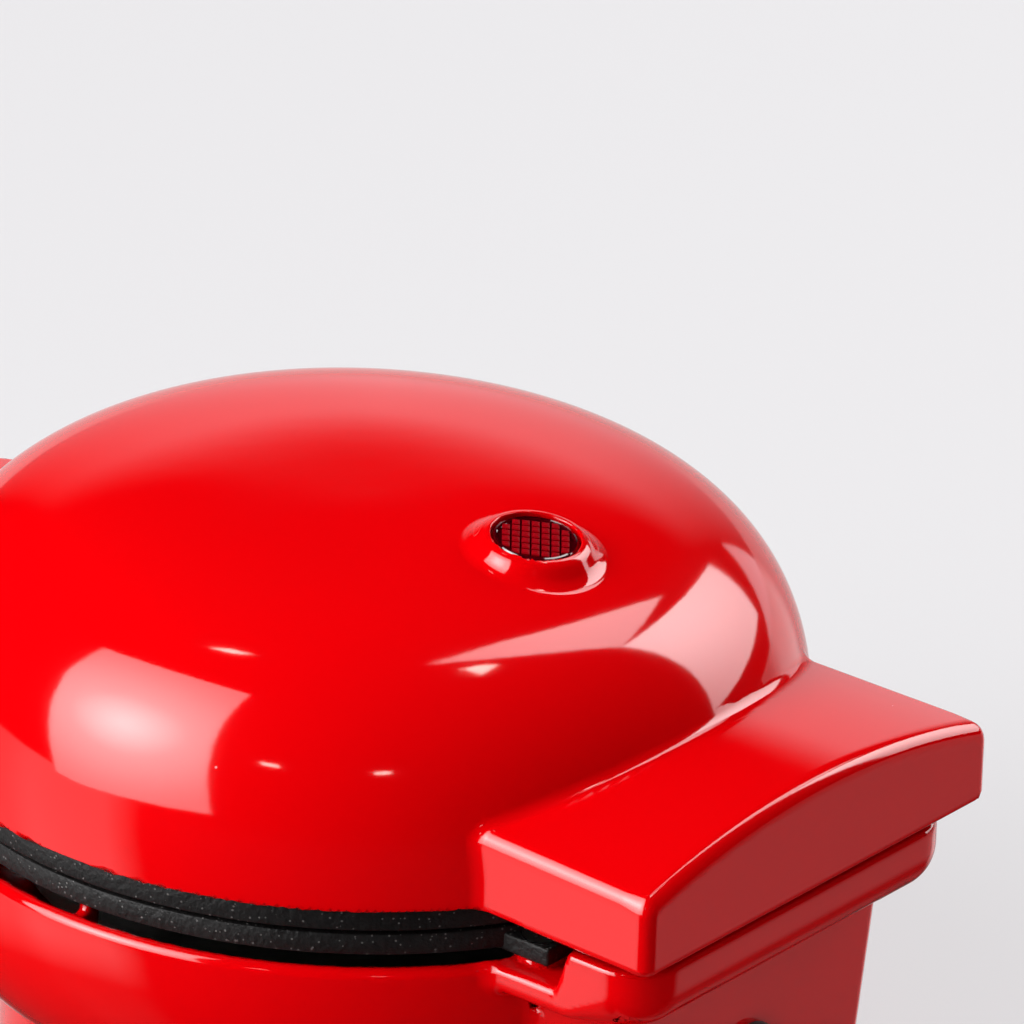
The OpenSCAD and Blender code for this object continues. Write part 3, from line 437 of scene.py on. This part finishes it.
lens_y = 31.2
lens_h = dome_rise * (1 - (lens_y / dome_r) ** dome_n) ** (1 / dome_m)
lens_dir = np.array([0, 0.1184, 0.99297])


def about_lens(p):
    """Distance from the lens's axis, and height along it above the dome."""
    q = p - np.array([0, lens_y, rim_z + lens_h])
    up = q @ lens_dir
    return np.hypot(p[:, 0], q[:, 1] * lens_dir[2] - q[:, 2] * lens_dir[1]), up


def lid_skin(p):
    x, y, h = np.abs(p[:, 0]), p[:, 1], p[:, 2] - rim_z
    dome = squared(np.hypot(x, y), h, dome_r, dome_rise)
    side = x - 37.6 - 0.0381 * (y - 41.2)
    block = cut_round(side, y - 84.2, 2.1)
    block = cut_round(block, crown_top(x, h, 39.2, 11.5, 5.6), 1.9 + 0.6 * np.clip((y - 79) / 3, 0, 1))
    block = np.maximum(block, 30 - y)
    handle = cut_round(cut_round(x - 22, -y - 84.2, 7), crown_top(x, h, 22, 5.6, 2.4), 2.2)
    handle = np.maximum(handle, 40 + y)
    body = join_round(join_round(dome, block, 1.3), handle, 3)
    q, up = about_lens(p)
    cone = (q - 7.5 - (2.5 - up) * 0.75) / 1.25
    collar = cut_round(np.maximum(cone, -4 - up), up - 2.5, 0.9)
    body = join_round(body, collar, 1.1)
    return cut_round(body, np.minimum(6.5 - q, up + 20), 0.3)


def lid_form(p):
    return cut_round(lid_skin(p), rim_z - p[:, 2], 0.6)


def gradient(form, p, step=0.04):
    e = np.eye(3) * step
    return np.stack([(form(p + d) - form(p - d)) / (2 * step) for d in e], axis=1)


def faired_shell(name, node, voxel, skin, form, keep=None, finer=None):
    """The moulding over a CAD shell: the shell's solid is remeshed evenly, and its outer
    skin is drawn onto the faired form, so that bosses, ribs and walls stay as they are."""
    bpy.ops.object.select_all(action="DESELECT")
    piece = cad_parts[node].copy()
    piece.data = piece.data.copy()
    piece.parent = None
    piece.name = piece.data.name = name
    for key in list(piece.keys()):
        del piece[key]
    bpy.context.scene.collection.objects.link(piece)
    bpy.context.view_layer.objects.active = piece
    piece.select_set(True)
    bpy.ops.object.mode_set(mode="EDIT")
    bpy.ops.mesh.select_all(action="SELECT")
    bpy.ops.mesh.remove_doubles(threshold=1e-6)
    bpy.ops.object.mode_set(mode="OBJECT")
    even = piece.modifiers.new("even", "REMESH")
    even.mode, even.voxel_size = "VOXEL", voxel * MM
    bpy.ops.object.modifier_apply(modifier="even")
    mesh = piece.data
    if finer:
        co = np.empty(len(mesh.vertices) * 3)
        mesh.vertices.foreach_get("co", co)
        chosen = finer(co.reshape(-1, 3) / MM)
        for v, c in zip(mesh.vertices, chosen):
            v.select = bool(c)
        bpy.ops.object.mode_set(mode="EDIT")
        bpy.ops.mesh.select_mode(type="VERT")
        bpy.ops.mesh.subdivide(number_cuts=1)
        bpy.ops.object.mode_set(mode="OBJECT")
    co = np.empty(len(mesh.vertices) * 3)
    mesh.vertices.foreach_get("co", co)
    p = co.reshape(-1, 3) / MM
    skin_depth, passes = 1.5, (0.4, 0.4, 0.0)
    outer = skin(p) > -skin_depth
    if keep is not None:
        outer &= ~keep(p)
    ends = np.empty(len(mesh.edges) * 2, np.int64)
    mesh.edges.foreach_get("vertices", ends)
    ends = ends.reshape(-1, 2)
    count = np.bincount(ends.ravel(), minlength=len(p))[:, None]
    # Each pass draws the skin onto the form, then evens its vertices out along it.
    for relax in passes:
        q = p[outer]
        for _ in range(8):
            g = gradient(form, q)
            q = q - np.clip(form(q), -0.6, 0.6)[:, None] * g / np.maximum((g ** 2).sum(1), 0.2)[:, None]
        p[outer] = q
        near = np.stack([np.bincount(ends[:, 0], p[ends[:, 1], k], len(p))
                         + np.bincount(ends[:, 1], p[ends[:, 0], k], len(p)) for k in range(3)], axis=1)
        p[outer] += relax * (near / np.maximum(count, 1) - p)[outer]
    mesh.vertices.foreach_set("co", (p * MM).ravel())
    mesh.update()
    mesh.shade_smooth()
    normals = np.empty(len(mesh.vertices) * 3)
    mesh.vertices.foreach_get("normal", normals)
    normals = normals.reshape(-1, 3)
    g = gradient(form, q)
    normals[outer] = g / np.maximum(np.linalg.norm(g, axis=1), 1e-6)[:, None]
    mesh.normals_split_custom_set_from_vertices(normals.tolist())
    return piece


enamel = finish("red_enamel", (0.60, 0.0, 0.0015), (0.56, 0.0, 0.001), (0.05, 0.09), coat=0.0,
                specular=0.55, scale=330, bump=0.035, depth=0.0002,
                speck=(260, 0.05, 0.05, (0.75, 0.25, 0.25), 0.5))

lid = faired_shell("lid_moulding", "lid_shell", 0.8, lid_skin, lid_form,
                   finer=lambda p: about_lens(p)[0] < 14)
lid.data.materials.clear()
lid.data.materials.append(enamel)
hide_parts("lid_shell")
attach(lid, "lid")

# Base
# The lower moulding in the same red: a bowl on a foot ring, a tapered pedestal behind,
# and the block that carries the hinge ridge, slotted for the bracket's two arms.
base_top, bowl_z, bowl_r, bowl_depth = 42.6, 41.1, 65.0, 35.0
notch_z, ridge_z, ridge_y, rear_y = 42.9, 49.5, 65.0, 81.7


def base_parts(p, lip):
    x, y, z = np.abs(p[:, 0]), p[:, 1], p[:, 2]
    r = np.hypot(x, y)
    bowl = np.where(z < bowl_z, squared(r, bowl_z - z, bowl_r, bowl_depth), r - bowl_r)
    if lip:
        bowl = cut_round(bowl, z - base_top, 1.5)
    ring = np.maximum(r - 50, z - 16)
    body = join_round(bowl, ring, 2.0)
    climb = np.clip((y - ridge_y) / 3, 0, 1)
    top = z - notch_z - (ridge_z - notch_z) * (1 - np.cos(np.pi * climb)) / 2
    top = top / np.sqrt(1 + (3.456 * np.sin(np.pi * climb)) ** 2)
    plan = cut_round(x - 36.2, y - rear_y, 8)
    under = 2 + 5 * np.clip((y - 68) / 8, 0, 1)
    block = cut_round(plan, 38.7 - z, under)
    block = np.maximum(cut_round(block, top, 1.2), 31 - y)
    foot = cut_round(x - 25 - 6 * (z - 1.5) / 39.4, y - 73.0, 2.6)
    foot = np.maximum(np.maximum(foot, z - 40), 31 - y)
    rear = join_round(block, foot, 2.0)
    body = join_round(body, rear, 1.6)
    boss = cut_round(np.hypot(x - 29, y - 57.6) - 3.5, z - 43.7, 0.5)
    boss = np.maximum(boss, 39.5 - z)
    body = np.minimum(body, boss)
    arm = np.maximum(np.maximum(np.abs(x - 19) - 2.4, np.abs(y - 72) - 7.5), 40.2 - z)
    lead = np.maximum(np.maximum(x - 4, np.abs(y - 68.75) - 4.25), 40.2 - z)
    gland = np.maximum(np.hypot(x, z - 20) - 5.3, 60 - y)
    bore = np.maximum(np.hypot(x - 29, y - 57.6) - 1.52, 35 - z)
    cut = np.minimum(np.minimum(arm, lead), np.minimum(gland, bore))
    return cut_round(body, -cut, 0.35)


base = faired_shell("base_moulding", "base_shell", 0.8, lambda p: base_parts(p, False),
                    lambda p: cut_round(base_parts(p, True), 1.5 - p[:, 2], 0.6),
                    keep=lambda p: (p[:, 2] > 42.75) & (np.hypot(p[:, 0], p[:, 1]) < 62.5) & (p[:, 1] < 56))
base.data.materials.clear()
base.data.materials.append(enamel)
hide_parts("base_shell")
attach(base, "base")

# Cooking plates
# Two aluminium castings with a matt black non-stick coating. Each holds two fish moulds,
# head to tail, pressed with an eye, a gill, rows of scales and ribbed fins; the cast rims
# stay rough. Two stepped lugs behind and one screw in front hold each plate.
plate_t, land_r, land_lift, mould_depth, mould_wall = 3.4, 57.0, 0.3, 8.0, 2.4
fish_a, fish_b, fish_x, fish_y, tail_x = 25.0, 14.5, -9.0, 19.0, 36.0
lug_x, lug_y, lug_w, lug_t, lug_step, front_screw_y = 29.0, 57.6, 7.0, 2.8, 1.0, 42.0


def only(obj):
    """Selects one object alone and makes it the active one."""
    bpy.ops.object.select_all(action="DESELECT")
    obj.select_set(True)
    bpy.context.view_layer.objects.active = obj
    return obj


def coordinates(mesh):
    co = np.empty(len(mesh.vertices) * 3)
    mesh.vertices.foreach_get("co", co)
    return co.reshape(-1, 3) / MM


def reshape(mesh, p):
    mesh.vertices.foreach_set("co", (p * MM).ravel())
    mesh.update()


def choose(obj, what, test):
    """In edit mode, selects just the faces or edges whose middle and normal pass the test."""
    bm = bmesh.from_edit_mesh(obj.data)
    bpy.ops.mesh.select_all(action="DESELECT")
    bpy.ops.mesh.select_mode(type="FACE" if what == "faces" else "EDGE")
    for item in (bm.faces if what == "faces" else bm.edges):
        if what == "faces":
            item.select_set(bool(test(item.calc_center_median() / MM, item.normal)))
        else:
            item.select_set(bool(test((item.verts[0].co + item.verts[1].co) / 2 / MM,
                                      (item.verts[1].co - item.verts[0].co).normalized())))
    bmesh.update_edit_mesh(obj.data)


def polygon_field(u, v, corners):
    """Signed distance to a closed outline, negative inside."""
    c = np.array(corners, float)
    near, inside = np.full(u.shape, 1e9), np.zeros(u.shape, bool)
    for (ax, ay), (bx, by) in zip(c, np.roll(c, -1, axis=0)):
        ex, ey = bx - ax, by - ay
        t = np.clip(((u - ax) * ex + (v - ay) * ey) / (ex * ex + ey * ey), 0, 1)
        near = np.minimum(near, np.hypot(u - ax - t * ex, v - ay - t * ey))
        inside ^= ((ay > v) != (by > v)) & (u < ex * (v - ay) / (ey if ey else 1e-9) + ax)
    return np.where(inside, -near, near)


def fish_field(u, v):
    x = u - fish_x
    k = np.sqrt((x / fish_a) ** 2 + (v / fish_b) ** 2)
    body = k * (k - 1) / np.maximum(np.hypot(x / fish_a ** 2, v / fish_b ** 2), 1e-3)
    tail = polygon_field(u, v, [(8, 6), (20, 3.6), (tail_x - 3, 12.5), (tail_x, 11), (tail_x - 4.5, 0),
                                (tail_x, -11), (tail_x - 3, -12.5), (20, -3.6), (8, -6)])
    back_fin = polygon_field(u, v, [(-20, 12), (-13, 16.1), (0, 16.5), (6, 10.5)])
    belly_fin = polygon_field(u, v, [(-12, -13.5), (-4, -16.3), (3, -16.3), (4, -11.5)])
    return join_round(join_round(body, tail, 2.0), np.minimum(back_fin, belly_fin), 1.0)


def ridge(distance, width):
    return np.exp(-(distance / width) ** 2)


def fish_relief(u, v):
    """Height of the fish's own features, as ridges left in the mould."""
    eye = np.hypot(u + 25, v - 3.5)
    gill = np.hypot(u + 29, v) - 14
    r = ridge(eye - 3.2, 0.55) * 0.8 - ridge(eye, 1.5) * 0.7
    r += ridge(gill, 0.7) * 1.0 * (np.abs(v) < 11.5) * (u > -29)
    mouth = np.hypot(u + 36.5, v + 8.5) - 9.0
    r += ridge(mouth, 0.5) * 0.7 * (u < -27.5) * (v < 3) * (v > -6)
    pitch_u, pitch_v = 4.6, 4.9
    scaled = np.clip((u + 12.5) / 1.5, 0, 1) * np.clip((19 - u) / 2, 0, 1)
    scales = np.zeros(u.shape)
    for shift in (0.0, 0.5):
        cu = (u / pitch_u / 2 + shift) % 1 * pitch_u * 2 - pitch_u
        cv = (v / pitch_v + shift) % 1 * pitch_v - pitch_v / 2
        arc = np.hypot(cu, cv) - 2.75
        scales = np.maximum(scales, ridge(arc, 0.5) * np.clip(cu / 0.8 + 0.3, 0, 1))
    r += 0.75 * scales * scaled
    fan = np.arctan2(v, u - 12)
    ribs = np.cos(fan * 18) * np.clip((u - 21) / 2, 0, 1)
    r += 0.4 * np.maximum(ribs, 0) ** 2
    fins = np.clip((np.abs(v) - 11.5) / 1.5, 0, 1) * (u > -20) * (u < 8)
    r += 0.4 * np.maximum(np.cos((u + v * 0.4) * 2.4), 0) ** 2 * fins
    return r


def mould(x, y):
    """Depth of the cooking face, and distance to the nearest fish outline."""
    second = y < 0
    u, v = np.where(second, -x, x), np.where(second, -y, y) - fish_y
    d = fish_field(u, v)
    inner = np.clip(-d / 6.0, 0, 1)
    depth = mould_depth * (1 - (1 - inner) ** 2.2)
    return depth - fish_relief(u, v) * np.clip((-d - 1.4) / 1.6, 0, 1), d


def cooking_plate(name, node, body, radius, face_z, toward):
    bpy.ops.object.select_all(action="DESELECT")
    bpy.ops.mesh.primitive_cylinder_add(vertices=384, radius=radius * MM, depth=plate_t * MM,
                                        location=(0, 0, plate_t / 2 * MM))
    obj = bpy.context.object
    obj.name = obj.data.name = name
    bpy.ops.object.transform_apply(location=True)
    bpy.ops.object.mode_set(mode="EDIT")
    choose(obj, "edges", lambda c, d: abs(d.z) < 0.1)
    bpy.ops.mesh.bevel(offset=0.5 * MM, segments=2)
    for end, pitch in ((-1, 0.55), (1, 1.5)):
        choose(obj, "faces", lambda c, n: n.z * end > 0.99 and np.hypot(c.x, c.y) < 1)
        for _ in range(int((radius - 1.2) / pitch)):
            bpy.ops.mesh.inset(thickness=pitch * MM, depth=0)
    bpy.ops.object.mode_set(mode="OBJECT")
    p = coordinates(obj.data)
    r = np.hypot(p[:, 0], p[:, 1])
    depth, d = mould(p[:, 0], p[:, 1])
    front = (p[:, 2] < 0.01) & (r < radius - 0.55)
    back = (p[:, 2] > plate_t - 0.01) & (r < radius - 0.55)
    screw = np.hypot(p[:, 0], p[:, 1] + front_screw_y)
    face = np.maximum(depth, np.clip(3.1 - screw, 0, 1.3))
    p[front, 2] = (face - land_lift * np.clip((land_r - r) / 0.8, 0, 1))[front]
    swell = np.clip((mould_wall - d) / 7.0, 0, 1)
    rear = mould_depth * (1 - (1 - swell) ** 2.2) ** 0.8 + mould_wall - land_lift
    p[back, 2] = np.maximum(p[:, 2], np.where(d < mould_wall, rear, 0))[back]
    reshape(obj.data, p)
    for side in (-1, 1):
        bpy.ops.object.select_all(action="DESELECT")
        bpy.ops.mesh.primitive_cube_add(size=1, location=(
            side * lug_x * MM, (lug_y - 3) * MM, (lug_step + lug_t / 2) * MM))
        lug = bpy.context.object
        lug.scale = (lug_w * MM, 14 * MM, lug_t * MM)
        bpy.ops.object.transform_apply(location=True, scale=True)
        bpy.ops.object.mode_set(mode="EDIT")
        choose(lug, "edges", lambda c, d: c.y > lug_y - 5)
        bpy.ops.mesh.bevel(offset=0.4 * MM, segments=3)
        bpy.ops.object.mode_set(mode="OBJECT")
        bpy.ops.mesh.primitive_cone_add(vertices=32, radius1=3.0 * MM, radius2=1.7 * MM, depth=1.3 * MM,
                                        location=(side * lug_x * MM, lug_y * MM, (lug_step + 0.64) * MM))
        sink = bpy.context.object
        bore = lug.modifiers.new("sink", "BOOLEAN")
        bore.operation, bore.object, bore.solver = "DIFFERENCE", sink, "EXACT"
        only(lug)
        bpy.ops.object.modifier_apply(modifier="sink")
        bpy.data.objects.remove(sink)
        weld = obj.modifiers.new("lug", "BOOLEAN")
        weld.operation, weld.object, weld.solver = "UNION", lug, "EXACT"
        only(obj)
        bpy.ops.object.modifier_apply(modifier="lug")
        bpy.data.objects.remove(lug)
    p = coordinates(obj.data)
    p[:, 2] = face_z + toward * p[:, 2]
    reshape(obj.data, p)
    bpy.ops.object.mode_set(mode="EDIT")
    bpy.ops.mesh.select_all(action="SELECT")
    bpy.ops.mesh.normals_make_consistent(inside=False)
    bpy.ops.object.mode_set(mode="OBJECT")
    bpy.ops.object.shade_smooth_by_angle(angle=np.radians(38))
    obj.data.materials.clear()
    obj.data.materials.append(coating)
    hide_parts(node)
    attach(obj, body)
    return obj


# The coating's lighter dots are partly its own grains and partly painted sparkle, highlights painted into
# its colour.
coating = finish("nonstick_coating", (0.005, 0.0045, 0.0045), (0.01, 0.009, 0.009), (0.42, 0.62),
                 specular=0.3, scale=1100, bump=0.8, depth=0.0003,
                 speck=(1900, 0.3, 0.16, (0.09, 0.086, 0.083), 0.4))
cooking_plate("upper_fish_plate", "upper_plate", "lid", 63.7, 48.4, 1)
cooking_plate("lower_fish_plate", "lower_plate", "base", 62.7, 47.5, -1)

# Pilot light
# A domed red acrylic lens, pushed up through the collar from inside. Its bevelled ring
# is clear and dark; the flat window inside it is moulded as rows of small prisms.
lens_r, lens_edge = 6.4, 1.6
bpy.ops.object.select_all(action="DESELECT")
bpy.ops.mesh.primitive_cylinder_add(vertices=96, radius=lens_r * MM, depth=6 * MM,
                                    location=(0, 0, (lens_edge - 3) * MM))
lens = bpy.context.object
lens.name = lens.data.name = "pilot_lens"
bpy.ops.object.transform_apply(location=True)
bpy.ops.object.mode_set(mode="EDIT")
choose(lens, "faces", lambda c, n: n.z > 0.99)
bpy.ops.mesh.inset(thickness=0.22 * MM, depth=0.24 * MM)
bpy.ops.mesh.inset(thickness=0.2 * MM, depth=0.26 * MM)
bpy.ops.mesh.inset(thickness=0.26 * MM, depth=0.08 * MM)
bpy.ops.mesh.inset(thickness=0.14 * MM, depth=-0.42 * MM)
bpy.ops.object.mode_set(mode="OBJECT")
lens_red = finish("lens_acrylic", (0.05, 0.0, 0.002), (0.035, 0.0, 0.001), (0.04, 0.08), coat=0.8,
                  scale=200, bump=0.02)
prism_red = finish("prism_acrylic", (0.3, 0.0, 0.004), (0.16, 0.0, 0.002), (0.3, 0.5), specular=0.02,
                   scale=900, bump=0.1)
window_r, top_z = 5.75, 1.98
bricks = []
for row in range(-4, 5):
    for col in range(-3, 4):
        cx, cy = (col + 0.5) * 1.63, row * 1.42
        if np.hypot(abs(cx) + 0.45, abs(cy) + 0.35) > window_r:
            continue
        bpy.ops.object.select_all(action="DESELECT")
        bpy.ops.mesh.primitive_cube_add(size=1, location=(cx * MM, cy * MM, (top_z - 0.25) * MM))
        brick = bpy.context.object
        brick.scale = (1.34 * MM, 1.12 * MM, 0.5 * MM)
        bpy.ops.object.transform_apply(location=True, scale=True)
        bpy.ops.object.mode_set(mode="EDIT")
        choose(brick, "faces", lambda c, n: n.z > 0.99)
        bpy.ops.mesh.inset(thickness=0.3 * MM, depth=0.14 * MM)
        bpy.ops.object.mode_set(mode="OBJECT")
        bricks.append(brick)
for obj, mat in [(lens, lens_red)] + [(b, prism_red) for b in bricks]:
    obj.data.materials.append(mat)
bpy.ops.object.select_all(action="DESELECT")
for obj in bricks + [lens]:
    obj.select_set(True)
bpy.context.view_layer.objects.active = lens
bpy.ops.object.join()
tilt = np.arctan2(lens_dir[1], lens_dir[2])
lens.data.transform(Matrix.Translation(Vector((0, lens_y, rim_z + lens_h)) * MM)
                    @ Matrix.Rotation(-tilt, 4, "X") @ Matrix.Rotation(np.radians(38.7), 4, "Z"))
bpy.ops.object.shade_smooth_by_angle(angle=np.radians(25))
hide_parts("indicator_lens")
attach(lens, "lid")
wear("indicator_lamp", finish("lamp_glass", (0.75, 0.28, 0.06), (0.65, 0.22, 0.05), (0.03, 0.08),
                              scale=300, bump=0.03))
wear("lamp_holder", finish("holder_plastic", (0.72, 0.69, 0.6), (0.66, 0.63, 0.54), (0.4, 0.55),
                           scale=700, bump=0.12))

# Heaters
# Tubular elements in dark oxidised steel lie on the backs of the moulds, under shields
# pressed from aluminised sheet; all is clamped by the plates' own screws.
oxide = finish("element_oxide", (0.07, 0.062, 0.058), (0.13, 0.095, 0.075), (0.35, 0.6), metal=0.9,
               scale=500, bump=0.2)
sheet_metal = finish("aluminised_sheet", (0.62, 0.62, 0.61), (0.5, 0.5, 0.5), (0.28, 0.45), metal=1.0,
                     scale=300, bump=0.12, stretch=(1, 14, 1))
zinc = finish("zinc_steel", (0.58, 0.57, 0.54), (0.45, 0.44, 0.4), (0.25, 0.42), metal=1.0,
              scale=900, bump=0.1)
for node in ("upper_element", "lower_element"):
    wear(node, oxide)
for node in ("upper_heat_shield", "lower_heat_shield"):
    wear(node, sheet_metal)
for node in ("upper_plate_screws", "lower_plate_screws", "bracket_screws"):
    wear(node, zinc)

# Temperature guards
# A bimetal thermostat in a plated can on the upper plate; on the lower one a one-shot
# fuse in a varnished case, held by a clip of spring steel.
wear("thermostat", finish("thermostat_can", (0.66, 0.65, 0.62), (0.5, 0.48, 0.45), (0.2, 0.38),
                          metal=1.0, scale=600, bump=0.06))
wear("thermal_fuse", finish("fuse_case", (0.55, 0.43, 0.27), (0.45, 0.34, 0.2), (0.3, 0.5),
                            metal=0.3, scale=600, bump=0.08))
wear("fuse_clip", finish("clip_steel", (0.5, 0.5, 0.5), (0.4, 0.4, 0.41), (0.22, 0.36), metal=1.0,
                         scale=500, bump=0.08, stretch=(1, 8, 1)))

# Hinge
# Two hooked arms of steel coloured nearly black, one pressing with their crossbar, turn on plain steel pins
# that are pushed through the ribs of the base block.
wear("hinge_bracket", finish("black_steel", (0.02, 0.02, 0.022), (0.045, 0.042, 0.04), (0.35, 0.55),
                             metal=0.8, scale=700, bump=0.15))
wear("hinge_pins", finish("pin_steel", (0.6, 0.6, 0.6), (0.5, 0.5, 0.5), (0.16, 0.3), metal=1.0,
                          scale=900, bump=0.05, stretch=(12, 1, 1)))

# Wiring
# Leads in white glass-braid sleeve, a ceramic three-pole block, and a rubber gland
# where the supply cord would come in.
sleeve = finish("braid_sleeve", (0.78, 0.76, 0.7), (0.64, 0.61, 0.55), (0.6, 0.85), scale=1600,
                bump=0.5, depth=0.0002)
for node in ("lid_leads", "base_leads"):
    wear(node, sleeve)
wear("terminal_block", finish("ceramic", (0.8, 0.79, 0.75), (0.7, 0.68, 0.63), (0.3, 0.5), scale=500,
                              bump=0.12))
wear("cord_gland", finish("gland_rubber", (0.018, 0.018, 0.019), (0.03, 0.029, 0.029), (0.5, 0.7),
                          scale=900, bump=0.15))

# Underside
# A black plastic cover with vents closes the foot ring on four screws, and stands on
# four rubber feet.
wear("bottom_cover", finish("cover_plastic", (0.022, 0.022, 0.023), (0.034, 0.033, 0.034), (0.45, 0.62),
                            scale=1300, bump=0.3, depth=0.0002))
wear("cover_screws", zinc)
wear("rubber_feet", finish("foot_rubber", (0.02, 0.02, 0.02), (0.04, 0.039, 0.038), (0.65, 0.85),
                           scale=800, bump=0.2))
